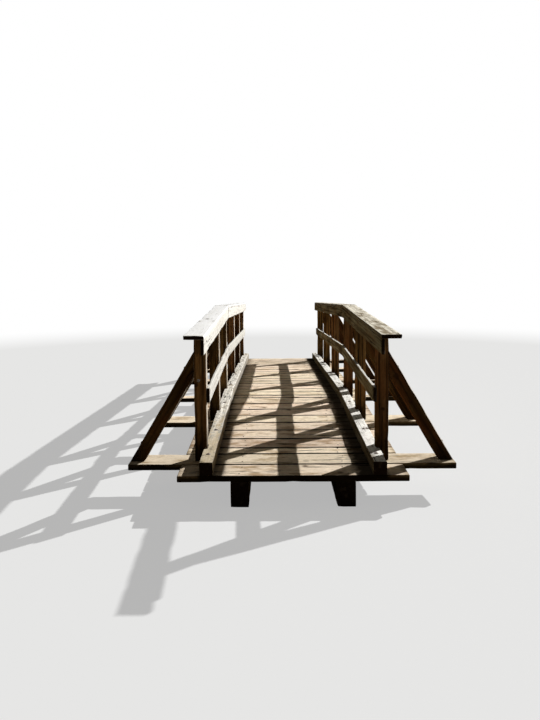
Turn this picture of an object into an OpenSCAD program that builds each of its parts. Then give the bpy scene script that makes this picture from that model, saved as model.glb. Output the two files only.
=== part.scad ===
// Timber footbridge with a blunt ridge in its deck, plain board railings and braced posts.
// Millimetres. X runs across the bridge, Y along it from the near end to the far end, Z up.
// The origin lies midway between the ends and the sides, on the level that the beams rest on.

/* [Deck] */
// Length of an ordinary deck plank, across the bridge
plank_length = 1780; // [1700:10:2000]
// Thickness of every deck plank
plank_t = 50; // [35:1:70]
// Width of a full deck plank, along the bridge
plank_w = 230; // [200:5:280]
// Width of the narrow plank that makes up the first bay
narrow_plank_w = 140; // [100:5:200]
// Open gap between two planks
plank_gap = 13; // [4:1:20]
// Rise of the deck from its ends to its ridge
deck_rise = 125; // [0:1:250]
// Overhang of the deck past the end posts
end_overhang = 315; // [280:5:450]

/* [Long planks] */
// Length of the planks that carry the posts and the feet of the braces
long_plank_length = 2650; // [2500:10:3000]
// Width of the level long plank at the ridge
ridge_plank_w = 140; // [120:5:230]

/* [Main beams] */
// Distance between the centres of the two beams
beam_spacing = 820; // [500:10:1100]
// Width of a beam
beam_w = 140; // [100:5:200]
// Depth of a beam, measured upright
beam_depth = 205; // [160:5:260]
// Depth of the level bearings that are cut into the ends of a beam
bearing_cut = 10; // [2:1:20]

/* [Posts] */
// Side of the square posts
post_w = 100; // [80:5:120]
// Clear width between the posts of the two railings
clear_width = 1380; // [1300:10:1450]
// Distance from the first to the second post
near_spacing = 1142; // [1000:1:1400]
// Distance from the second post to the post at the ridge
ridge_spacing = 935; // [800:5:1200]
// Distance from the post at the ridge to the fourth post
crest_spacing = 1405; // [1200:5:1600]
// Distance between the posts beyond the fourth
far_spacing = 1285; // [1000:5:1500]

/* [Railings] */
// Height of the handrail's top above the deck
rail_height = 1080; // [950:10:1200]
// Thickness of the handrail cap
cap_t = 31; // [20:1:50]
// Overhang of the cap past the outer faces of the posts
cap_overhang = 30; // [0:5:60]
// Overhang of the cap and the top board past the ends of the deck
rail_end_overhang = 35; // [0:5:80]
// Height of the upright boards of the railing
board_h = 120; // [80:5:160]
// Thickness of the upright boards of the railing
board_t = 26; // [18:1:40]
// Height of the middle board's lower edge above the deck
mid_board_base = 480; // [300:10:600]

/* [Kerbs] */
// Width of the kerb timbers
kerb_w = 105; // [80:5:140]
// Height of the kerb timbers
kerb_h = 105; // [80:5:140]
// Depth that the kerbs are notched over the posts
kerb_notch = 28; // [10:1:50]

/* [Braces] */
// Side of the square braces
brace_w = 100; // [70:5:120]
// Height above the deck at which the back of a brace meets its post
brace_top = 900; // [700:10:920]
// Distance from the toe of a brace to the end of its long plank
brace_setback = 5; // [0:5:60]

/* [Hidden] */

LEFT = -1;
RIGHT = 1;
NEAR = 0;
FAR = 1;

near_bays = 2;
far_bays = 3;
ridge_post = near_bays;
last_post = near_bays + far_bays;
plank_pitch = plank_w + plank_gap;

// Stations along the bridge are counted from the near face of the first post. along() gives
// the Y of a station, measured from the origin.
function post_y(i) = min(i, 1) * near_spacing
    + (i < ridge_post ? 0 : ridge_spacing)
    + (i > ridge_post ? crest_spacing + (i - ridge_post - 1) * far_spacing : 0);

// Each long plank lies with its middle under its posts.
function long_plank_w(i) = i == ridge_post ? ridge_plank_w : plank_w;
function long_plank_y(i) = post_y(i) + (post_w - long_plank_w(i)) / 2;

deck_near_y = -end_overhang;
deck_far_y = post_y(last_post) + post_w + end_overhang;
rail_near_y = deck_near_y - rail_end_overhang;
rail_far_y = deck_far_y + rail_end_overhang;
middle_y = (rail_near_y + rail_far_y) / 2;
function along(y) = y - middle_y;

// The long plank at the ridge lies level, between the near slope and the far slope.
deck_end_z = plank_t + beam_depth - bearing_cut;
ridge_near_y = long_plank_y(ridge_post) - plank_gap / 2;
ridge_far_y = ridge_near_y + ridge_plank_w + plank_gap;
near_slope = deck_rise / (ridge_near_y - deck_near_y);
far_slope = deck_rise / (deck_far_y - ridge_far_y);

// Both slopes carried straight on meet at a single bend over the ridge post. Without a rise
// the bend lies in the middle of the ridge plank.
bend_y = deck_rise > 0
    ? (near_slope * ridge_near_y + far_slope * ridge_far_y) / (near_slope + far_slope)
    : (ridge_near_y + ridge_far_y) / 2;

post_inner_x = clear_width / 2;
post_outer_x = post_inner_x + post_w;
board_inner_x = post_inner_x - board_t;
cap_outer_x = post_outer_x + cap_overhang;
cap_base = rail_height - cap_t;
kerb_outer_x = post_inner_x + kerb_notch;
kerb_inner_x = kerb_outer_x - kerb_w;
beam_x = beam_spacing / 2;
brace_toe_x = long_plank_length / 2 - brace_setback;

// Height of the two slopes, which the rails, the tops of the kerbs and the undersides of
// the beams follow
function slope_z(y) = deck_end_z + (y < bend_y
    ? near_slope * (y - deck_near_y)
    : far_slope * (deck_far_y - y));

// Height of the top of the planks, with the level ridge plank between the slopes
function deck_z(y) = min(slope_z(y), deck_end_z + deck_rise);

// Both lines from station y0 to y1, raised by h, as corners in Y and Z
function stations(y0, y1, bends) = concat([y0], [for (b = bends) if (b > y0 && b < y1) b], [y1]);
function slope_line(y0, y1, h) = [for (y = stations(y0, y1, [bend_y])) [along(y), slope_z(y) + h]];
function deck_line(y0, y1, h) = [
    for (y = stations(y0, y1, [ridge_near_y, ridge_far_y])) [along(y), deck_z(y) + h]
];
function reversed(list) = [for (i = [len(list) - 1:-1:0]) list[i]];

// A timber seen from the side: its lower and upper edges in Y and Z, and its two faces in X
module timber(x0, x1, lower, upper) {
    translate([x0, 0, 0])
        rotate([90, 0, 90])
            linear_extrude(x1 - x0)
                polygon(concat(lower, reversed(upper)));
}

// The same on one side of the bridge, with its faces counted outwards from the centre line
module side_timber(side, x_in, x_out, lower, upper) {
    timber(side == LEFT ? -x_out : x_in, side == LEFT ? -x_in : x_out, lower, upper);
}

// One length of a rail, on the near or the far side of the bend
module rail(side, part, x_in, x_out, base, height, y0, y1) {
    start = part == NEAR ? y0 : bend_y;
    end = part == NEAR ? bend_y : y1;
    side_timber(side, x_in, x_out,
        slope_line(start, end, base), slope_line(start, end, base + height));
}

// Beams: sawn to the line of the deck, with level bearings at their ends
module beam(side) {
    color("#5b4a36")
        difference() {
            side_timber(side, beam_x - beam_w / 2, beam_x + beam_w / 2,
                slope_line(deck_near_y, deck_far_y, -plank_t - beam_depth),
                deck_line(deck_near_y, deck_far_y, -plank_t));
            translate([-beam_spacing, along(deck_near_y) - 1, -beam_depth])
                cube([2 * beam_spacing, deck_far_y - deck_near_y + 2, beam_depth]);
        }
}

// Planks
module plank(length, y0, y1) {
    timber(-length / 2, length / 2, deck_line(y0, y1, -plank_t), deck_line(y0, y1, 0));
}

// Planks of equal width, close to the full width, that fill the deck between two stations
module equal_planks(y0, y1) {
    count = round((y1 - y0 + plank_gap) / plank_pitch);
    pitch = (y1 - y0 + plank_gap) / count;
    for (i = [0:count - 1])
        plank(plank_length, y0 + i * pitch, y0 + (i + 1) * pitch - plank_gap);
}

// Bay i of the deck lies between the long planks of posts i and i + 1.
function bay_start(i) = long_plank_y(i) + long_plank_w(i) + plank_gap;
function bay_end(i) = long_plank_y(i + 1) - plank_gap;

// The narrow plank comes first in the first bay.
module near_deck_planks() {
    color("#a89574") {
        plank(plank_length, deck_near_y, long_plank_y(0) - plank_gap);
        plank(plank_length, bay_start(0), bay_start(0) + narrow_plank_w);
        equal_planks(bay_start(0) + narrow_plank_w + plank_gap, bay_end(0));
        for (bay = [1:near_bays - 1])
            equal_planks(bay_start(bay), bay_end(bay));
    }
}

module far_deck_planks() {
    color("#a89574") {
        for (bay = [near_bays:last_post - 1])
            equal_planks(bay_start(bay), bay_end(bay));
        plank(plank_length, bay_start(last_post), deck_far_y);
    }
}

module long_planks() {
    color("#a89574")
        for (i = [0:last_post])
            plank(long_plank_length, long_plank_y(i), long_plank_y(i) + long_plank_w(i));
}

// Kerbs: straight on top, scribed to the planks below, and notched over the posts
module kerb(side, part) {
    start = part == NEAR ? deck_near_y : bend_y;
    end = part == NEAR ? bend_y : deck_far_y;
    color("#c9bda4")
        difference() {
            side_timber(side, kerb_inner_x, kerb_outer_x,
                deck_line(start, end, 0), slope_line(start, end, kerb_h));
            for (i = [0:last_post])
                post_stick(side, i, -plank_t, rail_height);
        }
}

// Posts: a square stick on each long plank, with its head cut to the slope of the cap
module post_stick(side, i, base, top) {
    y0 = post_y(i);
    y1 = y0 + post_w;
    side_timber(side, post_inner_x, post_outer_x, deck_line(y0, y1, base), slope_line(y0, y1, top));
}

module post(side, i) {
    color("#4a2d1a")
        post_stick(side, i, 0, cap_base);
}

// Railing boards on the inner faces of the posts, and the cap that covers posts and top board
module mid_board(side, part) {
    color("#8f8168")
        rail(side, part, board_inner_x, post_inner_x, mid_board_base, board_h,
            post_y(0), post_y(last_post) + post_w);
}

module top_board(side, part) {
    color("#8f8168")
        rail(side, part, board_inner_x, post_inner_x, cap_base - board_h, board_h,
            rail_near_y, rail_far_y);
}

module cap(side, part) {
    color("#d8d2c4")
        rail(side, part, board_inner_x, cap_outer_x, cap_base, cap_t, rail_near_y, rail_far_y);
}

// A brace stands on its long plank and leans against the outer face of its post. It is drawn
// from below the plank's surface and trimmed off along it.
module brace(side, i) {
    y0 = post_y(i) + (post_w - brace_w) / 2;
    y1 = y0 + brace_w;
    lean = atan(brace_top / (brace_toe_x - post_outer_x));
    foot_w = brace_w / sin(lean);
    spare = plank_t / 2;
    toe_x = brace_toe_x + spare / tan(lean);
    outline = [
        [toe_x, -spare],
        [post_outer_x, brace_top],
        [post_outer_x, brace_top - foot_w * tan(lean)],
        [toe_x - foot_w, -spare]
    ];
    difference() {
        translate([0, along(y1), deck_z((y0 + y1) / 2)])
            rotate([90, 0, 0])
                linear_extrude(brace_w)
                    polygon([for (p = outline) [side * p[0], p[1]]]);
        timber(-long_plank_length, long_plank_length,
            deck_line(y0, y1, -plank_t), deck_line(y0, y1, 0));
    }
}

module braces(side) {
    color("#3a2a1c")
        for (i = [0:last_post])
            brace(side, i);
}

beam(LEFT);  // left_beam
beam(RIGHT);  // right_beam
near_deck_planks();
far_deck_planks();
long_planks();
kerb(LEFT, NEAR);  // left_kerb_near
kerb(LEFT, FAR);  // left_kerb_far
kerb(RIGHT, NEAR);  // right_kerb_near
kerb(RIGHT, FAR);  // right_kerb_far
post(LEFT, 0);  // left_post_1
post(LEFT, 1);  // left_post_2
post(LEFT, 2);  // left_post_3
post(LEFT, 3);  // left_post_4
post(LEFT, 4);  // left_post_5
post(LEFT, 5);  // left_post_6
post(RIGHT, 0);  // right_post_1
post(RIGHT, 1);  // right_post_2
post(RIGHT, 2);  // right_post_3
post(RIGHT, 3);  // right_post_4
post(RIGHT, 4);  // right_post_5
post(RIGHT, 5);  // right_post_6
mid_board(LEFT, NEAR);  // left_mid_board_near
mid_board(LEFT, FAR);  // left_mid_board_far
mid_board(RIGHT, NEAR);  // right_mid_board_near
mid_board(RIGHT, FAR);  // right_mid_board_far
top_board(LEFT, NEAR);  // left_top_board_near
top_board(LEFT, FAR);  // left_top_board_far
top_board(RIGHT, NEAR);  // right_top_board_near
top_board(RIGHT, FAR);  // right_top_board_far
cap(LEFT, NEAR);  // left_cap_near
cap(LEFT, FAR);  // left_cap_far
cap(RIGHT, NEAR);  // right_cap_near
cap(RIGHT, FAR);  // right_cap_far
braces(LEFT);  // left_braces
braces(RIGHT);  // right_braces
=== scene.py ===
"""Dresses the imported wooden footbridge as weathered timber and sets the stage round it."""

import random
from math import radians

import bmesh
import bpy
from mathutils import Matrix, Vector, noise
from mathutils.bvhtree import BVHTree


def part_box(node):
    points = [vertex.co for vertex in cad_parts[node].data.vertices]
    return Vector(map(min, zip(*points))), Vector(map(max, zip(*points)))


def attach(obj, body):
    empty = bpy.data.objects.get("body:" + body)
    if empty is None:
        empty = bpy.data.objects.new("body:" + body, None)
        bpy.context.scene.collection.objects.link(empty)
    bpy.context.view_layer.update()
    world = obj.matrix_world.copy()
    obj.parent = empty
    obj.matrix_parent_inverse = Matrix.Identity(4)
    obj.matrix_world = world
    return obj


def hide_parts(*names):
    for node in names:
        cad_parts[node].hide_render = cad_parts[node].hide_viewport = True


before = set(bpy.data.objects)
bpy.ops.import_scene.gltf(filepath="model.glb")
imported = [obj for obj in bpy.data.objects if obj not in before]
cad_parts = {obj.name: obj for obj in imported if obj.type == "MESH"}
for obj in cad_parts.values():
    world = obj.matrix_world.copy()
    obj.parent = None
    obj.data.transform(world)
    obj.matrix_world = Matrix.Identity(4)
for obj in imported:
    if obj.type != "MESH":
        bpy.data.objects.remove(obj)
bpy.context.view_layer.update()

bl_info = {
    "name": "Weathered Footbridge",
    "version": (1, 0, 0),
    "blender": (4, 5, 0),
    "location": "View3D > Sidebar > Footbridge",
    "description": "Weathered timber, fixings and a plain stage for the footbridge",
    "category": "Object",
}

SIDES = ("left", "right")
SLOPES = ("near", "far")
SUN = Vector((1.24, 1.055, 1.0)).normalized()
POSTS = [tuple(corner.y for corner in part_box(f"left_post_{i}")) for i in range(1, 7)]
NEAR_FACE = POSTS[0][0]
POST_BOLT = (-0.753, NEAR_FACE, 0.925)

# Each mark or stain: its place, its size along each axis and its strength
POST_MARKS = (
    ((-0.775, NEAR_FACE, 0.893), (0.028, 0.028, 0.028), 0.85),
    (POST_BOLT, (0.022, 0.022, 0.022), 0.85),
    # Darker patch at the top of the left end post's near face, under the handrail
    ((-0.745, NEAR_FACE, 1.2), (0.06, 0.06, 0.11), 0.6),
    ((0.739, NEAR_FACE, 0.686), (0.022, 0.022, 0.022), 0.85),
)
BRACE_MARKS = (
    ((-0.819, NEAR_FACE, 0.957), (0.03, 0.03, 0.03), 0.85),
    ((0.85, NEAR_FACE, 0.953), (0.034, 0.034, 0.034), 0.85),
    ((0.973, NEAR_FACE, 0.748), (0.026, 0.026, 0.026), 0.85),
)
KERB_STAINS = (((-0.665, -3.8, 0.36), (1.0, 1.9, 1.0), 0.6),)
DECK_MARKS = (
    ((-0.169, -3.308, 0.249), (0.085, 0.03, 0.05), 0.4),
    ((-0.12, -3.285, 0.25), (0.05, 0.02, 0.05), 0.35),
    ((0.171, -3.216, 0.254), (0.11, 0.022, 0.05), 0.4),
    ((0.116, -3.083, 0.261), (0.04, 0.02, 0.05), 0.35),
    ((0.381, -3.042, 0.263), (0.05, 0.03, 0.05), 0.3),
)

# Dirt and painted shade across the deck beside each kerb: where it starts, where it is full, and its
# strength
LEFT_DIRT_AND_SHADE = (-0.48, -0.64, 0.7)
RIGHT_DIRT_AND_SHADE = (0.43, 0.54, 0.92)
# Distances from the middle of the bridge where the dirt and painted shade on the deck end, and where they
# are full
DIRT_AND_SHADE_REACH = (0.76, 0.7)

# How far the pattern and the heart of the tree move from one timber to another
PATTERN_SHIFT = (31.7, 11.3, 17.9)
HEART_SHIFT = (0, 0.06, 0.12)

# Waves to the metre along, across and through a timber, of its dents and of its unevenness
DENT_WAVES = (7, 30, 30)
UNEVEN_WAVES = (2.2, 9, 9)
# Seed of the unevenness, which would follow the clock without one
UNEVEN_SEED = 1
# Width of the worn band along an edge, and distance between the cuts along the grain
EDGE_BAND = 0.02
STRIP = 0.045

# Nails: their distance from a plank's middle in half widths, and how far they stray across and along
NAIL_ROW = 0.56
NAIL_STRAY_ACROSS = 0.008
NAIL_STRAY_ALONG = 0.02
# Bottom of nails and bolts in the wood, and heights of a washer's side and top
SUNK = -0.004
WASHER_SIDE = 0.0014
WASHER_TOP = 0.0022
# Distances of the railing boards and of the handrails' screws from the middle of the bridge
BOARD_X = 0.677
CAP_SCREWS_X = (0.715, 0.765)
# Heights of the screws in a railing board, as shares of its height
BOARD_SCREWS = (0.25, 0.75)
# Distances of a brace's bolts from its top and its foot, and their size beside the kerbs' bolts
BRACE_BOLT_TOP = 0.16
BRACE_BOLT_FOOT = 0.17
BRACE_BOLT_SIZE = 0.8

# Colour of the light from all round
FILL_TINT = (1, 0.94, 0.82)
# Colours of the floor, first as it lights the bridge and then as the camera sees it
FLOOR_TONES = ((0.33, 0.31, 0.27), (0.70, 0.70, 0.69))
# Distances between which the floor fades to white, and the least share of white
FLOOR_FADE = (5.0, 16.0)
LEAST_WHITE = 0.45


# Settings


def paint(code):
    """A colour written as six hexadecimal digits, as the linear values that the shaders take."""
    parts = [int(code[i : i + 2], 16) / 255 for i in (0, 2, 4)]
    return tuple(p / 12.92 if p <= 0.04045 else ((p + 0.055) / 1.055) ** 2.4 for p in parts)


def colour(name, code, description):
    """A colour setting."""
    return bpy.props.FloatVectorProperty(
        name=name, description=description, subtype="COLOR", size=3, min=0, max=1, default=paint(code)
    )


def number(name, default, description, **options):
    """A setting that is one number."""
    return bpy.props.FloatProperty(name=name, description=description, default=default, **options)


def length(name, default, description):
    """A length setting in metres."""
    return number(name, default, description, min=0, precision=4, unit="LENGTH")


class FootbridgeColours(bpy.types.PropertyGroup):
    """Colours of the timbers and the fixings."""

    # Each timber's first colour goes on faces turned from the sun and its bleached colour on faces turned
    # to it: partly weathering, partly painted shade and sunlight. The deck's near-black colour on the plank
    # sides is painted shade
    deck: colour("Deck", "2E2219", "Sides and undersides of the planks")
    deck_streak: colour("Deck Streak", "7A6244", "Dark streaks along the planks")
    deck_patch: colour("Deck Patch", "A8865E", "Brown stains on the planks")
    deck_pale: colour("Deck Bleached", "FDE9D0", "Trodden and bleached tops of the planks")
    kerb: colour("Kerb", "7A6A50", "Shaded sides of the right kerb")
    kerb_streak: colour("Kerb Streak", "4E4230", "Dark streaks and lichen on the right kerb")
    kerb_patch: colour("Kerb Patch", "8F8775", "Grey patches on the right kerb")
    kerb_pale: colour("Kerb Bleached", "FCF9F2", "Top of the right kerb")
    mossy_kerb: colour("Mossy Kerb", "776849", "Shaded sides of the left kerb")
    mossy_kerb_streak: colour("Mossy Kerb Streak", "4F452F", "Dark streaks and lichen on the left kerb")
    mossy_kerb_patch: colour("Mossy Kerb Patch", "AD925F", "Tan patches and stains on the left kerb")
    mossy_kerb_pale: colour("Mossy Kerb Bleached", "FFFAEE", "Top of the left kerb")
    post: colour("Post", "92643A", "Faces of the posts")
    post_streak: colour("Post Streak", "1E0F06", "Dark streaks down the posts")
    post_patch: colour("Post Patch", "9A7448", "Light brown patches on the posts")
    post_pale: colour("Post Bleached", "DDD0C0", "Posts where the sun has bleached them")
    board: colour("Rail Board", "958769", "Shaded faces of the railing boards")
    board_streak: colour("Rail Board Streak", "43331E", "Dark streaks along the railing boards")
    board_patch: colour("Rail Board Patch", "866A4A", "Brown patches on the railing boards")
    board_pale: colour("Rail Board Bleached", "E8E5DD", "Railing boards that face the sun")
    cap: colour("Handrail", "6E6454", "Underside and shaded edges of the right handrail")
    cap_streak: colour("Handrail Streak", "6E5D46", "Dark streaks along the right handrail")
    cap_patch: colour("Handrail Patch", "86735A", "Brown patches on the right handrail")
    cap_pale: colour("Handrail Bleached", "FFF7E6", "Top of the right handrail")
    white_cap: colour("White Handrail", "A89E8E", "Underside and shaded edges of the left handrail")
    white_cap_streak: colour("White Handrail Streak", "D8D2C6", "Streaks along the left handrail")
    white_cap_patch: colour("White Handrail Patch", "F0ECE2", "Patches on the left handrail")
    white_cap_pale: colour("White Handrail Bleached", "FDFCFA", "Top of the left handrail")
    brace: colour("Brace", "623A1E", "Faces of the leaning braces")
    brace_streak: colour("Brace Streak", "2A180C", "Dark streaks down the braces")
    brace_patch: colour("Brace Patch", "5E4628", "Brown patches on the braces")
    brace_pale: colour("Brace Bleached", "DDD0BE", "Braces where the sun has bleached them")
    beam: colour("Beam", "5C4934", "Faces of the main beams")
    beam_streak: colour("Beam Streak", "35291C", "Dark streaks along the beams")
    beam_patch: colour("Beam Patch", "6B5A42", "Patches on the beams")
    beam_pale: colour("Beam Bleached", "95836A", "Beams where light reaches them")
    knot: colour("Knot", "3B2415", "Knots in the timber, and marks on it")
    # This colour also paints the dirt and shade beside the kerbs and the shade in the plank joints
    crack: colour("Drying Crack", "1C1309", "Cracks, damp feet and trodden-in dirt")
    # End grain is darker than the sides, and darkened further as painted shade
    end_grain: colour("End Grain", "1E1711", "Sawn ends of the timbers")
    steel: colour("Steel", "77736A", "Washers, screws and bolts")
    rust: colour("Rust", "54301B", "Rust on the fixings")
    iron: colour("Iron", "2B2420", "Heads of the nails")


class FootbridgeWear(bpy.types.PropertyGroup):
    """How far the timbers have left their sawn shape."""

    edge_round: length("Edge Rounding", 0.005, "How far the long edges are worn round")
    plank_round: length("Plank Rounding", 0.007, "How far the edges of the planks are trodden round")
    brace_round: length("Brace Rounding", 0.009, "How far the edges of the braces are worn round")
    edge_chips: length("Edge Chips", 0.004, "Deepest dent in a worn edge")
    waviness: length("Waviness", 0.0009, "Unevenness of the sawn faces")
    cupping: length("Cupping", 0.0016, "How far the planks have cupped")
    slice: length("Slice", 0.06, "Distance between the cuts that carry the wear")


class FootbridgeFixings(bpy.types.PropertyGroup):
    """Sizes and places of the fixings."""

    nail_radius: length("Nail Radius", 0.0065, "Radius of the nail heads in the deck")
    screw_radius: length("Screw Radius", 0.005, "Radius of the screw heads in the railings")
    bolt_radius: length("Bolt Radius", 0.0105, "Radius of the bolt heads")
    washer_radius: length("Washer Radius", 0.019, "Radius of the washers under the bolt heads")
    bolt_spacing: length("Bolt Spacing", 0.95, "Distance between the bolts along a kerb")
    first_bolt: length("First Bolt", 0.13, "Distance of the end bolts from the end posts' faces")
    second_bolt: length("Second Bolt", 0.5, "Distance of the next bolts past the first post's face")


class FootbridgeStage(bpy.types.PropertyGroup):
    """Camera, light and floor."""

    camera_place: bpy.props.FloatVectorProperty(
        name="Camera Place",
        description="Where the camera stands",
        default=(-0.149, -7.725, 1.720),
        unit="LENGTH",
    )
    camera_turn: bpy.props.FloatVectorProperty(
        name="Camera Turn",
        description="Turn of the camera about the three axes",
        default=(radians(86.98), radians(0.427), radians(0.221)),
        subtype="EULER",
    )
    lens: number("Lens", 28.885, "Focal length in millimetres", min=1)
    lens_shift: number("Lens Shift", -0.0658, "Upward shift of the lens")
    sun_strength: number("Sun", 5.0, "Strength of the key light", min=0)
    sun_size: number("Sun Size", radians(0.6), "Apparent size of the key light", subtype="ANGLE")
    fill: number("Fill", 0.055, "Strength of the light from all round")
    floor_radius: length("Floor Radius", 60, "Radius of the floor")


def settings(group):
    """One of the setting groups of the scene."""
    return getattr(bpy.context.scene, f"footbridge_{group}")


# Finishes


class Mill:
    """Adds shader nodes to a material and joins them."""

    def __init__(self, name):
        self.material = bpy.data.materials.new(name)
        self.material.use_nodes = True
        self.tree = self.material.node_tree
        self.shader = self.tree.nodes["Principled BSDF"]

    def feed(self, socket, value):
        """Links a socket to the value, or sets it."""
        if isinstance(value, bpy.types.NodeSocket):
            self.tree.links.new(value, socket)
        elif socket.type == "RGBA" and len(value) == 3:
            socket.default_value = (*value, 1)
        else:
            socket.default_value = value

    def add(self, kind, feeds, output=0, **options):
        """Adds one node and gives one of its outputs."""
        node = self.tree.nodes.new("ShaderNode" + kind)
        for option, value in options.items():
            setattr(node, option, value)
        for socket, value in feeds.items():
            self.feed(node.inputs[socket], value)
        return node.outputs[output]

    def attribute(self, name):
        """An attribute of the piece."""
        return self.add("Attribute", {}, "Vector", attribute_name=name)

    def math(self, operation, *values):
        """A calculation on numbers."""
        return self.add("Math", dict(enumerate(values)), operation=operation)

    def vector(self, operation, *values, output=0):
        """A calculation on vectors."""
        return self.add("VectorMath", dict(enumerate(values)), output, operation=operation)

    def split(self, vector):
        """The three numbers of a vector."""
        node = self.add("SeparateXYZ", {0: vector}).node
        return node.outputs[0], node.outputs[1], node.outputs[2]

    def step(self, value, low, high, top=1.0):
        """A soft step from 0 at low to top at high."""
        feeds = {0: value, 1: low, 2: high, 4: top}
        return self.add("MapRange", feeds, interpolation_type="SMOOTHSTEP")

    def noise(self, place, stretch, detail=3.0, roughness=0.55):
        """Noise with so many waves to the metre along each axis."""
        spread = self.vector("MULTIPLY", place, stretch)
        feeds = {"Vector": spread, "Scale": 1.0, "Detail": detail, "Roughness": roughness}
        return self.add("TexNoise", feeds)

    def ragged(self, value, unevenness, amount):
        """A number that a noise moves up and down."""
        return self.math("MULTIPLY_ADD", self.math("SUBTRACT", unevenness, 0.5), amount, value)

    def mix(self, amount, first, second):
        """A mixture of two colours."""
        return self.add("Mix", {0: amount, 6: first, 7: second}, 2, data_type="RGBA")

    def mark(self, spot, unevenness, middle, size, strength):
        """How far a spot lies inside a mark with a soft, uneven edge."""
        away = self.vector("DIVIDE", self.vector("SUBTRACT", spot, middle), size)
        away = self.ragged(self.vector("LENGTH", away, output="Value"), unevenness, 1.0)
        return self.step(away, 1.0, 0.4, strength)

    def heart_gap(self, grain, board):
        """Distance from the heart of the tree, which lies elsewhere in each timber."""
        heart = self.vector("MULTIPLY", board, HEART_SHIFT)
        across = self.vector("MULTIPLY_ADD", grain, (0, 1, 1), heart)
        return self.vector("LENGTH", across, output="Value")

    def rings(self, distance, waves):
        """Growth rings with so many radians to the metre."""
        wave = self.math("SINE", self.math("MULTIPLY", distance, waves))
        return self.math("MULTIPLY_ADD", wave, 0.5, 0.5)

    def shade(self, feeds):
        """Gives the shader what its sockets take."""
        for socket, value in feeds.items():
            self.feed(self.shader.inputs[socket], value)

    def relief(self, height, strength, distance):
        """Gives the shader a bumpy surface."""
        feeds = {"Height": height, "Strength": strength, "Distance": distance}
        self.shade({"Normal": self.add("Bump", feeds)})


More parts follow.
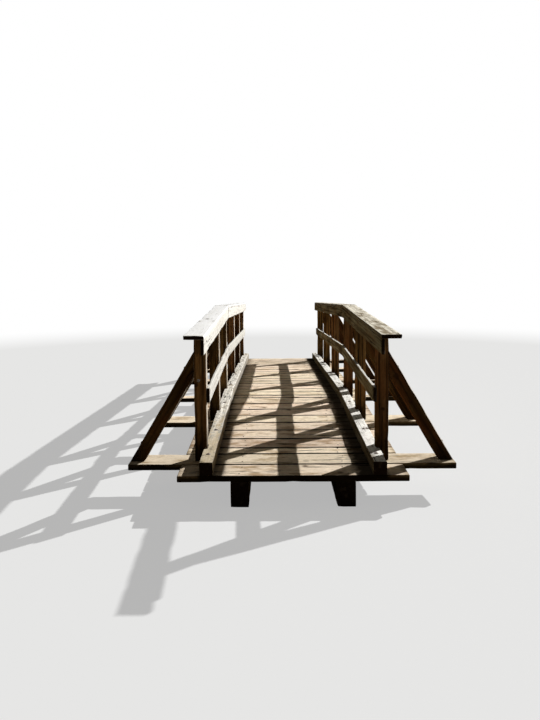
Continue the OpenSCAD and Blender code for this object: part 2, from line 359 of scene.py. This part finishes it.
def timber_finish(
    name, kind, streaky=1.0, patchy=0.4, lichen=0.0, wet_height=0.0, bleach=(0.1, 0.4), worn=0.35,
    cracks=1.0, dirty_ends=0.55, dirty_sides=0.0, trodden=False, marks=(), stains=(),
):
    """Weathered timber whose pattern follows the grain of each piece."""
    tint = settings("colours")
    parts = ("", "_streak", "_patch", "_pale")
    main, streak_tint, patch_tint, lit_and_bleached_tint = (getattr(tint, kind + part) for part in parts)
    mill = Mill(name)
    grain, board, half = (mill.attribute(n) for n in ("grain", "board", "half"))
    tone, hue, age = mill.split(board)
    place = mill.vector("MULTIPLY_ADD", board, PATTERN_SHIFT, grain)
    spot = mill.add("TexCoord", {}, "Object")

    # Knots, and growth rings that bend round them
    cells = mill.vector("MULTIPLY", place, (2.6, 4.2, 4.2))
    knot_gap = mill.add("TexVoronoi", {"Vector": cells, "Scale": 1.0}, "Distance")
    knot = mill.step(knot_gap, 0.10, 0.05)
    knot_halo = mill.step(knot_gap, 0.24, 0.04)
    sway = mill.noise(place, (1.1, 4, 4), 2)
    bent = mill.math("MULTIPLY_ADD", knot_halo, 0.012, mill.heart_gap(grain, board))
    rings = mill.rings(mill.math("MULTIPLY_ADD", sway, 0.03, bent), 900.0)

    # Streaks, fibres, patches, mottling, spots and drying cracks
    bent_place = mill.vector("MULTIPLY_ADD", sway, (0, 0.016, 0.016), place)
    streaks = mill.step(mill.noise(bent_place, (0.8, 40, 40), 4, 0.6), 0.42, 0.64)
    fine = mill.noise(bent_place, (3, 95, 95), 4, 0.65)
    fibres = mill.noise(bent_place, (14, 700, 700), 2, 0.6)
    broad = mill.math("MULTIPLY", mill.noise(place, (2.4, 8, 8), 4, 0.6), 0.8)
    patches = mill.math("MULTIPLY_ADD", mill.noise(place, (8, 19, 19), 4, 0.6), 0.5, broad)
    patches = mill.math("SUBTRACT", patches, 0.15)
    mottle = mill.noise(place, (26, 60, 60), 3, 0.6)
    spots = mill.noise(place, (16, 24, 24), 5, 0.65)
    ridge = mill.math("ABSOLUTE", mill.math("SUBTRACT", mill.noise(bent_place, (0.7, 26, 26), 2, 0.5), 0.5))
    crack_zone = mill.step(mill.noise(place, (1.0, 9, 9), 2), 0.5, 0.58)
    crack = mill.math("MULTIPLY", mill.step(ridge, 0.016, 0.004, cracks), crack_zone)

    # Distances to the long edges and to the ends
    to_end, to_side, to_face = mill.split(mill.vector("SUBTRACT", half, mill.vector("ABSOLUTE", grain)))
    edge_gap = mill.ragged(mill.math("MAXIMUM", to_side, to_face), fine, 0.012)
    edge = mill.step(edge_gap, 0.016, 0.002, worn)
    near_end = mill.step(mill.ragged(to_end, streaks, -0.03), 0.07, 0.0, dirty_ends)

    # Side of the timber that faces the sun, painted paler: partly sun bleaching, partly painted sunlight
    normal = mill.add("NewGeometry", {}, "Normal")
    facing = mill.vector("DOT_PRODUCT", normal, tuple(SUN), output="Value")
    bleached = mill.step(mill.ragged(mill.ragged(facing, patches, 0.5), age, 0.16), *bleach)

    # Colour from the heartwood out to the weathered surface: the pale colour on the sun-facing side is
    # partly sun bleaching and partly painted sunlight, and the darker colour on the other sides is partly
    # painted shade
    body = mill.mix(mill.step(patches, 0.42, 0.6, 0.8), main, patch_tint)
    body = mill.mix(mill.math("MULTIPLY", streaks, 0.8), body, streak_tint)
    body = mill.mix(mill.step(sway, 0.5, 0.66, 0.6), body, streak_tint)
    lit_and_bleached_skin = mill.mix(mill.math("MULTIPLY", streaks, 0.3 * streaky), lit_and_bleached_tint, streak_tint)
    lit_and_bleached_skin = mill.mix(mill.step(patches, 0.48, 0.66, patchy), lit_and_bleached_skin, patch_tint)
    wood = mill.mix(bleached, body, lit_and_bleached_skin)
    wood = mill.mix(mill.math("MULTIPLY", rings, 0.08 * streaky), wood, streak_tint)
    wood = mill.mix(mill.step(fine, 0.52, 0.68, 0.3 * streaky), wood, streak_tint)
    # Pale worn edges on the sun-facing side only: partly wear, partly painted highlight
    wood = mill.mix(mill.math("MULTIPLY", edge, bleached), wood, lit_and_bleached_tint)
    wood = mill.mix(mill.math("MULTIPLY", knot_halo, 0.3), wood, streak_tint)
    wood = mill.mix(mill.math("MULTIPLY", knot, 0.85), wood, tint.knot)
    wood = mill.mix(near_end, wood, streak_tint)

    # Stains, lichen, damp feet, painted shade on the kerbs' sides, dirt and painted shade beside the kerbs,
    # painted shade in the plank joints, and marks at places of their own
    x, _, height = mill.split(spot)
    upward = mill.split(normal)[2]
    for stain in stains:
        strong_spots = mill.math("MULTIPLY_ADD", spots, 2.0, -0.5)
        wood = mill.mix(mill.mark(spot, strong_spots, *stain), wood, patch_tint)
    if lichen:
        top = mill.step(upward, 0.3, 0.9, lichen)
        wood = mill.mix(mill.math("MULTIPLY", mill.step(spots, 0.52, 0.6), top), wood, streak_tint)
    # Sides darker than the tops: painted shade
    if dirty_sides:
        wood = mill.mix(mill.step(upward, 0.8, 0.2, dirty_sides), wood, streak_tint)
    if wet_height:
        damp = mill.ragged(height, spots, 0.3)
        wood = mill.mix(mill.step(damp, wet_height, wet_height - 0.25, 0.85), wood, tint.crack)
    if trodden:
        # Darker band beside each kerb, stronger on the right: dirt and painted shade
        reach = mill.ragged(x, spots, 0.14)
        beside = mill.math("MAXIMUM", mill.step(reach, *RIGHT_DIRT_AND_SHADE), mill.step(reach, *LEFT_DIRT_AND_SHADE))
        between = mill.step(mill.math("ABSOLUTE", x), *DIRT_AND_SHADE_REACH)
        wood = mill.mix(mill.math("MULTIPLY", beside, between), wood, tint.crack)
        # Plank edges and sides darkened along the joints: painted shade in the gaps
        painted_joint_shade = mill.math("MULTIPLY", mill.step(to_side, 0.013, 0.006, 0.95), between)
        wood = mill.mix(mill.math("MAXIMUM", painted_joint_shade, mill.step(to_side, 0.003, 0.001, 0.9)), wood, tint.crack)
    for mark in marks:
        wood = mill.mix(mill.mark(spot, mottle, *mark), wood, tint.knot)
    wood = mill.mix(crack, wood, tint.crack)

    # Tone of each timber, and the surface itself
    value = mill.add("MapRange", {0: tone, 3: 0.84, 4: 1.12})
    value = mill.math("MULTIPLY", value, mill.math("MULTIPLY_ADD", mottle, 0.7, 0.67))
    warmth = mill.add("MapRange", {0: hue, 3: 0.496, 4: 0.512})
    wood = mill.add("HueSaturation", {"Hue": warmth, "Value": value, "Color": wood})
    rough = mill.add("MapRange", {0: fine, 1: 0.3, 2: 0.7, 3: 0.7, 4: 0.9})
    mill.shade({"Base Color": wood, "Roughness": rough, "Specular IOR Level": 0.0})
    coarse = mill.math("MULTIPLY_ADD", fine, 0.6, mill.math("MULTIPLY", fibres, 0.4))
    ripple = mill.math("MULTIPLY_ADD", rings, 0.12, mill.math("MULTIPLY_ADD", streaks, -0.3, coarse))
    mill.relief(mill.math("MULTIPLY_ADD", crack, -1.6, ripple), 0.55, 0.0016)
    return mill.material


def end_grain_finish(name):
    """Sawn end of a timber: growth rings and dirt on dark end grain, darkened partly as painted shade."""
    tint = settings("colours")
    mill = Mill(name)
    grain, board = mill.attribute("grain"), mill.attribute("board")
    sway = mill.noise(mill.vector("MULTIPLY_ADD", board, PATTERN_SHIFT, grain), (20, 20, 20), 3)
    bent = mill.math("MULTIPLY_ADD", sway, 0.006, mill.heart_gap(grain, board))
    rings = mill.rings(bent, 1100.0)
    dirt = mill.noise(grain, (60, 60, 60), 5, 0.65)
    wood = mill.mix(mill.math("MULTIPLY", rings, 0.5), tint.end_grain, tint.knot)
    wood = mill.mix(mill.step(dirt, 0.45, 0.62, 0.7), wood, tint.crack)
    wood = mill.mix(mill.step(sway, 0.55, 0.7, 0.1), wood, tint.beam_pale)
    mill.shade({"Base Color": wood, "Roughness": 0.9, "Specular IOR Level": 0.0})
    mill.relief(mill.math("MULTIPLY_ADD", rings, 0.4, dirt), 0.7, 0.0015)
    return mill.material


def metal_finish(name, tint):
    """Dull metal of the fixings with rust on it."""
    mill = Mill(name)
    place = mill.add("TexCoord", {}, "Object")
    rust = mill.step(mill.noise(place, (160, 160, 160), 4, 0.6), 0.44, 0.6)
    mill.shade({
        "Base Color": mill.mix(rust, tint, settings("colours").rust),
        "Metallic": mill.math("SUBTRACT", 0.7, mill.math("MULTIPLY", rust, 0.6)),
        "Roughness": mill.math("MULTIPLY_ADD", rust, 0.3, 0.5),
    })
    mill.relief(mill.noise(place, (400, 400, 400), 2), 0.4, 0.0006)
    return mill.material


def finish(maker, name, *values, **options):
    """The finish of that name, made the first time it is asked for."""
    return bpy.data.materials.get(name) or maker(name, *values, **options)


# Timbers


def whole_mesh(node):
    """A copy of a CAD node's mesh with its points joined and its flat faces whole."""
    bm = bmesh.new()
    bm.from_mesh(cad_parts[node].data)
    bmesh.ops.remove_doubles(bm, verts=bm.verts, dist=1e-5)
    bmesh.ops.dissolve_limit(bm, angle_limit=radians(0.2), verts=bm.verts, edges=bm.edges)
    return bm


def solids_of(node):
    """The separate timbers of a CAD node, each as a mesh of its own."""
    whole = whole_mesh(node)
    whole.faces.ensure_lookup_table()
    left, solids = set(range(len(whole.faces))), []
    while left:
        island, edge = set(), [min(left)]
        while edge:
            index = edge.pop()
            if index in island:
                continue
            island.add(index)
            edge += [f.index for e in whole.faces[index].edges for f in e.link_faces]
        left -= island
        solid = whole.copy()
        solid.faces.ensure_lookup_table()
        others = [f for f in solid.faces if f.index not in island]
        bmesh.ops.delete(solid, geom=others, context="FACES")
        solids.append(solid)
    whole.free()
    return solids


class Timber:
    """One timber: its grain directions, middle, half sizes and a seed that comes from its place."""

    def __init__(self, bm, along=None):
        self.bm = bm
        longest = max(bm.edges, key=lambda e: round(e.calc_length(), 4))
        self.along = self.forward(Vector(along) if along else longest.verts[1].co - longest.verts[0].co)
        widest = max(f.calc_area() for f in bm.faces)
        large = [f for f in bm.faces if f.calc_area() > 0.96 * widest]
        wide = [f.normal for f in large if abs(f.normal @ self.along) < 0.3]
        face = max(wide, key=lambda n: (round(abs(n.z), 2), round(abs(n.y), 2)))
        self.up = self.forward(face - self.along * (face @ self.along))
        self.side = self.up.cross(self.along)
        self.axes = Matrix((self.along, self.side, self.up))
        local = [self.axes @ v.co for v in bm.verts]
        low = Vector(min(p[i] for p in local) for i in range(3))
        high = Vector(max(p[i] for p in local) for i in range(3))
        self.half = (high - low) / 2
        self.middle = self.axes.transposed() @ ((high + low) / 2)
        spot = [round(c * 1000 + 0.23) for c in self.middle]
        self.random = random.Random(spot[0] * 7919 + spot[1] * 104729 + spot[2] * 1299709)
        self.board = Vector(self.random.random() for _ in range(3))

    @staticmethod
    def forward(direction):
        """The direction with length 1 and its largest part positive."""
        largest = max(direction, key=abs)
        return direction.normalized() * (1 if largest > 0 else -1)

    def local(self, point):
        """A point as distances along, across and through the timber from its middle."""
        return self.axes @ (point - self.middle)

    def placed(self, along, side, up):
        """The place of such distances."""
        return self.middle + self.along * along + self.side * side + self.up * up


def slice_timber(timber, spacing):
    """Cuts the faces of a timber into strips that can take the wear."""
    cuts = [max(2, round(2 * timber.half[0] / spacing))]
    cuts += [max(2, min(6, round(2 * timber.half[i] / STRIP))) for i in (1, 2)]
    for axis, count in enumerate(cuts):
        direction = timber.axes[axis]
        for i in range(1, count):
            place = timber.middle + direction * timber.half[axis] * (2 * i / count - 1)
            parts = timber.bm.verts[:] + timber.bm.edges[:] + timber.bm.faces[:]
            bmesh.ops.bisect_plane(timber.bm, geom=parts, dist=1e-5, plane_co=place, plane_no=direction)


def soft_step(value, low, high):
    """A soft step from 0 at low to 1 at high."""
    x = min(max((value - low) / (high - low), 0), 1)
    return x * x * (3 - 2 * x)


def in_waves(spot, waves):
    """A spot told in waves instead of metres, with so many to the metre along each axis."""
    return Vector(distance * count for distance, count in zip(spot, waves))


def wear_timber(timber, cupping):
    """Gives a timber its chipped edges, uneven faces and cupping, and notes its grain on its points."""
    wear = settings("wear")
    noise.seed_set(UNEVEN_SEED)
    bm, half = timber.bm, timber.half
    layers = {n: bm.verts.layers.float_vector.new(n) for n in ("grain", "board", "half")}
    shift = timber.board * 50
    cup = cupping * (2 * timber.random.random() - 1)
    for v in bm.verts:
        spot = timber.local(v.co)
        v[layers["grain"]], v[layers["board"]], v[layers["half"]] = spot, timber.board, half
        gap = [half[i] - abs(spot[i]) for i in range(3)]
        near_edge = 1 - soft_step(max(gap[1], gap[2]), 0.0, EDGE_BAND)
        dent = max(0, noise.noise(in_waves(spot, DENT_WAVES) + shift) - 0.05)
        chip = min(dent * 2.4, 1) * near_edge * wear.edge_chips
        move = noise.noise_vector(in_waves(spot, UNEVEN_WAVES) + shift) * wear.waviness
        move.x *= 0.3
        move.y -= chip * (1 if spot.y > 0 else -1)
        move.z -= chip * (1 if spot.z > 0 else -1)
        move.z += cup * ((spot.y / half[1]) ** 2 - 0.4)
        v.co += timber.axes.transposed() @ move


def dress(node, side_finish, along=None, cupping=0.0, rounding=None):
    """Makes the weathered piece that stands for a CAD node, and gives its timbers."""
    wear = settings("wear")
    mesh = bpy.data.meshes.new("worn_" + node)
    joined, timbers = bmesh.new(), []
    for solid in solids_of(node):
        timber = Timber(solid, along)
        timbers.append(timber)
        corners = [e for e in solid.edges if e.calc_face_angle(0) > radians(20)]
        bmesh.ops.bevel(
            solid, geom=corners, offset=rounding or wear.edge_round, offset_type="OFFSET", segments=2,
            affect="EDGES", profile=0.5, material=-1, clamp_overlap=True,
        )
        slice_timber(timber, wear.slice)
        wear_timber(timber, cupping)
        for face in solid.faces:
            face.smooth = True
            face.material_index = int(abs(face.normal @ timber.along) > 0.7)
        part = bpy.data.meshes.new("part")
        solid.to_mesh(part)
        joined.from_mesh(part)
        bpy.data.meshes.remove(part)
        solid.free()
    joined.to_mesh(mesh)
    joined.free()
    piece = bpy.data.objects.new("worn_" + node, mesh)
    bpy.context.scene.collection.objects.link(piece)
    mesh.materials.append(side_finish)
    mesh.materials.append(finish(end_grain_finish, "sawn_end_grain"))
    normals = piece.modifiers.new("Even Normals", "WEIGHTED_NORMAL")
    normals.keep_sharp = False
    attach(piece, "root")
    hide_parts(node)
    return timbers


# Fixings


def turned(bm, profile, place, axis, steps):
    """Adds a shape turned about an axis from its profile of radius and height pairs."""
    before = set(bm.verts)
    verts = [bm.verts.new((radius, 0, height)) for radius, height in profile]
    edges = [bm.edges.new(pair) for pair in zip(verts, verts[1:])]
    bmesh.ops.spin(
        bm, geom=verts + edges, cent=(0, 0, 0), axis=(0, 0, 1), angle=radians(360), steps=steps,
        use_merge=True,
    )
    points = [v for v in bm.verts if v not in before]
    bmesh.ops.remove_doubles(bm, verts=points, dist=1e-5)
    points = [v for v in points if v.is_valid]
    turn = Vector((0, 0, 1)).rotation_difference(axis).to_matrix().to_4x4()
    bmesh.ops.transform(bm, matrix=Matrix.Translation(place) @ turn, verts=points)


def bolt_head(washer, crown):
    """Profile of a bolt head on its washer, from the washer's radius and the crown's points."""
    side = [(0, SUNK), (washer, SUNK), (washer, WASHER_SIDE)]
    top = [(washer - 0.001, WASHER_TOP), (crown[0][0], WASHER_TOP)]
    return side + top + crown


def fixing_piece(name, spots, profile, steps=12, iron=False):
    """Makes one piece of like fixings, each at a place and along an axis."""
    tint = settings("colours")
    bm = bmesh.new()
    for place, axis in spots:
        turned(bm, profile, place, axis, steps)
    bmesh.ops.recalc_face_normals(bm, faces=bm.faces)
    for face in bm.faces:
        face.smooth = True
    mesh = bpy.data.meshes.new(name)
    bm.to_mesh(mesh)
    bm.free()
    metal = ("dark_iron", tint.iron) if iron else ("rusted_steel", tint.steel)
    mesh.materials.append(finish(metal_finish, *metal))
    piece = bpy.data.objects.new(name, mesh)
    bpy.context.scene.collection.objects.link(piece)
    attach(piece, "root")


def surface(node):
    """A search tree of a CAD node's surface."""
    bm = bmesh.new()
    bm.from_mesh(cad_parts[node].data)
    tree = BVHTree.FromBMesh(bm)
    bm.free()
    return tree


def top_spot(node, x, y):
    """The place on top of a node, and the direction away from it."""
    place, normal, _, _ = surface(node).ray_cast(Vector((x, y, 5)), Vector((0, 0, -1)))
    if place is None:
        raise RuntimeError(f"{node} has no top at {x}, {y}")
    return place, normal


# Operators


class FootbridgeStep(bpy.types.Operator):
    """One step in dressing the footbridge."""

    bl_options = {"REGISTER", "UNDO"}


class FOOTBRIDGE_OT_beams(FootbridgeStep):
    """Dress the main beams"""

    bl_idname = "footbridge.beams"
    bl_label = "Main Beams"

    def execute(self, context):
        wood = finish(timber_finish, "weathered_beam", "beam", bleach=(0.3, 0.8), worn=0.2)
        for side in SIDES:
            dress(f"{side}_beam", wood, along=(0, 1, 0))
        return {"FINISHED"}


class FOOTBRIDGE_OT_deck(FootbridgeStep):
    """Dress the deck planks and nail them down"""

    bl_idname = "footbridge.deck"
    bl_label = "Deck"

    def execute(self, context):
        sizes, wear = settings("fixings"), settings("wear")
        wood = finish(
            timber_finish, "weathered_deck", "deck", streaky=0.4, patchy=0.75, bleach=(0.1, 0.38),
            worn=0.6, trodden=True, marks=DECK_MARKS,
        )
        beam_x = sum(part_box("right_beam"), Vector()).x / 2
        spots = []
        for node in ("near_deck_planks", "far_deck_planks", "long_planks"):
            planks = dress(node, wood, cupping=wear.cupping, rounding=wear.plank_round)
            for plank in planks:
                spots += self.nails(plank, beam_x)
        r = sizes.nail_radius
        head = [(0, SUNK), (r, SUNK), (r, 0.0008), (0.7 * r, 0.0016), (0, 0.0018)]
        fixing_piece("deck_nails", spots, head, 8, iron=True)
        return {"FINISHED"}

    @staticmethod
    def nails(plank, beam_x):
        """The places and directions of the nails that hold a plank to the two beams."""
        draw = plank.random.uniform
        spots = []
        for x in (-beam_x, beam_x):
            for side in (-NAIL_ROW, NAIL_ROW):
                across = plank.half[1] * side + draw(-NAIL_STRAY_ACROSS, NAIL_STRAY_ACROSS)
                along = x + draw(-NAIL_STRAY_ALONG, NAIL_STRAY_ALONG)
                spots.append((plank.placed(along, across, plank.half[2]), plank.up))
        return spots


class FOOTBRIDGE_OT_kerbs(FootbridgeStep):
    """Dress the kerb timbers and bolt them down"""

    bl_idname = "footbridge.kerbs"
    bl_label = "Kerbs"

    def execute(self, context):
        sizes = settings("fixings")
        woods = (
            finish(
                timber_finish, "mossy_kerb", "mossy_kerb", patchy=0.5, lichen=0.5, bleach=(0.2, 0.42),
                worn=0.9, dirty_ends=0, dirty_sides=0.6, stains=KERB_STAINS,
            ),
            finish(
                timber_finish, "bleached_kerb", "kerb", streaky=0.5, lichen=0.25, bleach=(0.2, 0.42),
                worn=0.9, dirty_ends=0, dirty_sides=0.5,
            ),
        )
        low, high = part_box("left_kerb_near")
        middle = abs(low.x + high.x) / 2
        start, bend = POSTS[0][0], high.y
        places = [start - sizes.first_bolt, -start + sizes.first_bolt]
        y = start + sizes.second_bolt
        while y < -start:
            places.append(y)
            y += sizes.bolt_spacing
        spots = []
        for side, sign, wood in zip(SIDES, (-1, 1), woods):
            for slope in SLOPES:
                dress(f"{side}_kerb_{slope}", wood)
            for y in places:
                node = f"{side}_kerb_{'near' if y < bend else 'far'}"
                spots.append(top_spot(node, sign * middle, y))
        r = sizes.bolt_radius
        head = bolt_head(sizes.washer_radius, [(r, 0.0050), (0.7 * r, 0.0078), (0, 0.0088)])
        fixing_piece("kerb_bolts", spots, head)
        return {"FINISHED"}


class FOOTBRIDGE_OT_posts(FootbridgeStep):
    """Dress the posts"""

    bl_idname = "footbridge.posts"
    bl_label = "Posts"

    def execute(self, context):
        wood = finish(
            timber_finish, "weathered_post", "post", wet_height=0.62, bleach=(0.2, 0.5),
            marks=POST_MARKS,
        )
        for side in SIDES:
            for i in range(1, len(POSTS) + 1):
                dress(f"{side}_post_{i}", wood)
        return {"FINISHED"}


class FOOTBRIDGE_OT_railings(FootbridgeStep):
    """Dress the railing boards and handrails and screw them to the posts"""

    bl_idname = "footbridge.railings"
    bl_label = "Railings"

    def execute(self, context):
        sizes = settings("fixings")
        boards = finish(
            timber_finish, "weathered_rail_board", "board", streaky=0.4, patchy=0.15,
            bleach=(0.1, 0.42),
        )
        caps = (
            finish(
                timber_finish, "white_handrail", "white_cap", streaky=0.15, patchy=0.3,
                bleach=(0.0, 0.25), cracks=0.15,
            ),
            finish(
                timber_finish, "weathered_handrail", "cap", streaky=1.2, patchy=0.9,
                bleach=(0.2, 0.5), worn=0.9, lichen=0.15,
            ),
        )
        spots = []
        for side, sign, cap_finish in zip(SIDES, (-1, 1), caps):
            for slope in SLOPES:
                for level in ("mid", "top"):
                    node = f"{side}_{level}_board_{slope}"
                    dress(node, boards)
                    spots += self.board_screws(node, sign)
                cap = f"{side}_cap_{slope}"
                dress(cap, cap_finish)
                for y in self.crossings(cap):
                    spots += [top_spot(cap, sign * x, y) for x in CAP_SCREWS_X]
        r = sizes.screw_radius
        head = [(0, -0.003), (r, -0.003), (r, 0.0004), (0.75 * r, 0.0009), (0.35 * r, 0.0008), (0, -0.0006)]
        fixing_piece("rail_screws", spots, head, 8)
        return {"FINISHED"}

    @staticmethod
    def crossings(node):
        """The places along the bridge where a rail crosses its posts."""
        low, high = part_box(node)
        shared = [(max(start, low.y), min(end, high.y)) for start, end in POSTS]
        return [(start + end) / 2 for start, end in shared if end - start > 0.01]

    def board_screws(self, node, sign):
        """The places and directions of the screws through a board's inner face at each post."""
        tree = surface(node)
        spots = []
        for y in self.crossings(node):
            low, high = self.column(tree, sign, y)
            for part in BOARD_SCREWS:
                inner = Vector((0, y, low + (high - low) * part))
                place, normal, _, _ = tree.ray_cast(inner, Vector((sign, 0, 0)))
                spots.append((place, normal))
        return spots

    @staticmethod
    def column(tree, sign, y):
        """Lowest and highest point of a board above one place along the bridge."""
        x = sign * BOARD_X
        low = tree.ray_cast(Vector((x, y, 0)), Vector((0, 0, 1)))[0]
        high = tree.ray_cast(Vector((x, y, 2)), Vector((0, 0, -1)))[0]
        if low is None or high is None:
            raise RuntimeError(f"no railing board over {y}")
        return low.z, high.z


class FOOTBRIDGE_OT_braces(FootbridgeStep):
    """Dress the leaning braces and bolt them to posts and planks"""

    bl_idname = "footbridge.braces"
    bl_label = "Braces"

    def execute(self, context):
        sizes, wear = settings("fixings"), settings("wear")
        wood = finish(
            timber_finish, "weathered_brace", "brace", wet_height=0.5, bleach=(0.12, 0.4), worn=0.9,
            marks=BRACE_MARKS,
        )
        spots = []
        for side, sign in zip(SIDES, (-1, 1)):
            for brace in dress(f"{side}_braces", wood, rounding=wear.brace_round):
                spots += self.bolts(brace, Vector((sign, 0, 0)))
        spots.append((Vector(POST_BOLT), Vector((0, -1, 0))))
        r, washer = sizes.bolt_radius * BRACE_BOLT_SIZE, sizes.washer_radius * BRACE_BOLT_SIZE
        head = bolt_head(washer, [(r, 0.0060), (0.8 * r, 0.0072), (0, 0.0074)])
        fixing_piece("brace_bolts", spots, head, 6)
        return {"FINISHED"}

    @staticmethod
    def bolts(brace, outward):
        """The places and directions of the two bolts in a brace's outer face."""
        facing = max((brace.side, -brace.side, brace.up, -brace.up), key=lambda d: d @ outward)
        upward = brace.along * (1 if brace.along.z > 0 else -1)
        reach = brace.half[1] if abs(facing @ brace.side) > 0.5 else brace.half[2]
        distances = (brace.half[0] - BRACE_BOLT_TOP, -brace.half[0] + BRACE_BOLT_FOOT)
        return [(brace.middle + upward * distance + facing * reach, facing) for distance in distances]


class FOOTBRIDGE_OT_stage(FootbridgeStep):
    """Set up the camera, the light and the pale floor"""

    bl_idname = "footbridge.stage"
    bl_label = "Stage"

    def execute(self, context):
        stage = settings("stage")
        scene = context.scene
        lens = bpy.data.cameras.new("camera")
        lens.sensor_width, lens.lens, lens.shift_y = 36, stage.lens, stage.lens_shift
        lens.clip_end = 500
        camera = bpy.data.objects.new("camera", lens)
        camera.location, camera.rotation_euler = stage.camera_place, stage.camera_turn
        sun = bpy.data.objects.new("sun", bpy.data.lights.new("sun", "SUN"))
        sun.data.energy, sun.data.angle = stage.sun_strength, stage.sun_size
        sun.rotation_euler = SUN.to_track_quat("Z", "Y").to_euler()
        for thing in (camera, sun):
            scene.collection.objects.link(thing)
        scene.camera = camera
        scene.view_settings.view_transform = "Standard"
        self.set_sky(scene, stage.fill)
        self.lay_floor(scene, stage.floor_radius)
        return {"FINISHED"}

    @staticmethod
    def set_sky(scene, fill):
        """Even light from all round, and white for the camera and for reflections."""
        scene.world = scene.world or bpy.data.worlds.new("sky")
        scene.world.use_nodes = True
        nodes, links = scene.world.node_tree.nodes, scene.world.node_tree.links
        nodes.clear()
        path, light = nodes.new("ShaderNodeLightPath"), nodes.new("ShaderNodeBackground")
        seen, mix, out = (nodes.new("ShaderNode" + n) for n in ("Background", "MixShader", "OutputWorld"))
        for node, tint, strength in ((light, FILL_TINT, fill), (seen, (1, 1, 1), 1)):
            node.inputs["Color"].default_value = (*tint, 1)
            node.inputs["Strength"].default_value = strength
        total = path.outputs["Is Camera Ray"]
        for ray in ("Is Glossy Ray", "Is Transmission Ray"):
            add = nodes.new("ShaderNodeMath")
            add.use_clamp = True
            links.new(total, add.inputs[0])
            links.new(path.outputs[ray], add.inputs[1])
            total = add.outputs[0]
        links.new(total, mix.inputs[0])
        links.new(light.outputs[0], mix.inputs[1])
        links.new(seen.outputs[0], mix.inputs[2])
        links.new(mix.outputs[0], out.inputs[0])

    @staticmethod
    def lay_floor(scene, radius):
        """A round pale floor that fades to white far from the bridge."""
        bm = bmesh.new()
        bmesh.ops.create_circle(bm, cap_ends=True, radius=radius, segments=96)
        bmesh.ops.translate(bm, verts=bm.verts, vec=(0, 0, -0.001))
        mesh = bpy.data.meshes.new("floor")
        bm.to_mesh(mesh)
        bm.free()
        floor = bpy.data.objects.new("floor", mesh)
        scene.collection.objects.link(floor)
        mill = Mill("pale_floor")
        mesh.materials.append(mill.material)
        seen = mill.add("LightPath", {}, "Is Camera Ray")
        tone = mill.mix(seen, *FLOOR_TONES)
        distance = mill.vector("LENGTH", mill.add("TexCoord", {}, "Object"), output="Value")
        fade = mill.math("MAXIMUM", mill.step(distance, *FLOOR_FADE), LEAST_WHITE)
        cloth = mill.add("BsdfDiffuse", {"Color": tone})
        glow = mill.add("Emission", {"Color": (1, 1, 1), "Strength": 1.0})
        away = mill.math("MULTIPLY", fade, seen)
        surface_out = mill.add("MixShader", {0: away, 1: cloth, 2: glow})
        mill.feed(mill.tree.nodes["Material Output"].inputs["Surface"], surface_out)
        mill.tree.nodes.remove(mill.shader)


STEPS = (
    FOOTBRIDGE_OT_stage,
    FOOTBRIDGE_OT_beams,
    FOOTBRIDGE_OT_deck,
    FOOTBRIDGE_OT_kerbs,
    FOOTBRIDGE_OT_posts,
    FOOTBRIDGE_OT_railings,
    FOOTBRIDGE_OT_braces,
)
GROUPS = {
    "colours": FootbridgeColours,
    "wear": FootbridgeWear,
    "fixings": FootbridgeFixings,
    "stage": FootbridgeStage,
}


class FOOTBRIDGE_PT_panel(bpy.types.Panel):
    """Lists the steps that dress the footbridge."""

    bl_idname = "FOOTBRIDGE_PT_panel"
    bl_label = "Footbridge"
    bl_space_type = "VIEW_3D"
    bl_region_type = "UI"
    bl_category = "Footbridge"

    def draw(self, context):
        for step in STEPS:
            self.layout.operator(step.bl_idname)
        for name in ("wear", "fixings", "stage", "colours"):
            group = settings(name)
            box = self.layout.box()
            for key in group.__annotations__:
                box.prop(group, key)


def register():
    """Makes the settings, steps and panel known."""
    for name, group in GROUPS.items():
        bpy.utils.register_class(group)
        setattr(bpy.types.Scene, f"footbridge_{name}", bpy.props.PointerProperty(type=group))
    for made in (*STEPS, FOOTBRIDGE_PT_panel):
        bpy.utils.register_class(made)


def unregister():
    """Takes them away again."""
    for made in (FOOTBRIDGE_PT_panel, *reversed(STEPS)):
        bpy.utils.unregister_class(made)
    for name, group in GROUPS.items():
        delattr(bpy.types.Scene, f"footbridge_{name}")
        bpy.utils.unregister_class(group)


def main():
    """Dresses the footbridge."""
    register()
    for step in STEPS:
        area, name = step.bl_idname.split(".")
        getattr(getattr(bpy.ops, area), name)()
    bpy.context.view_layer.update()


if __name__ == "__main__":
    main()
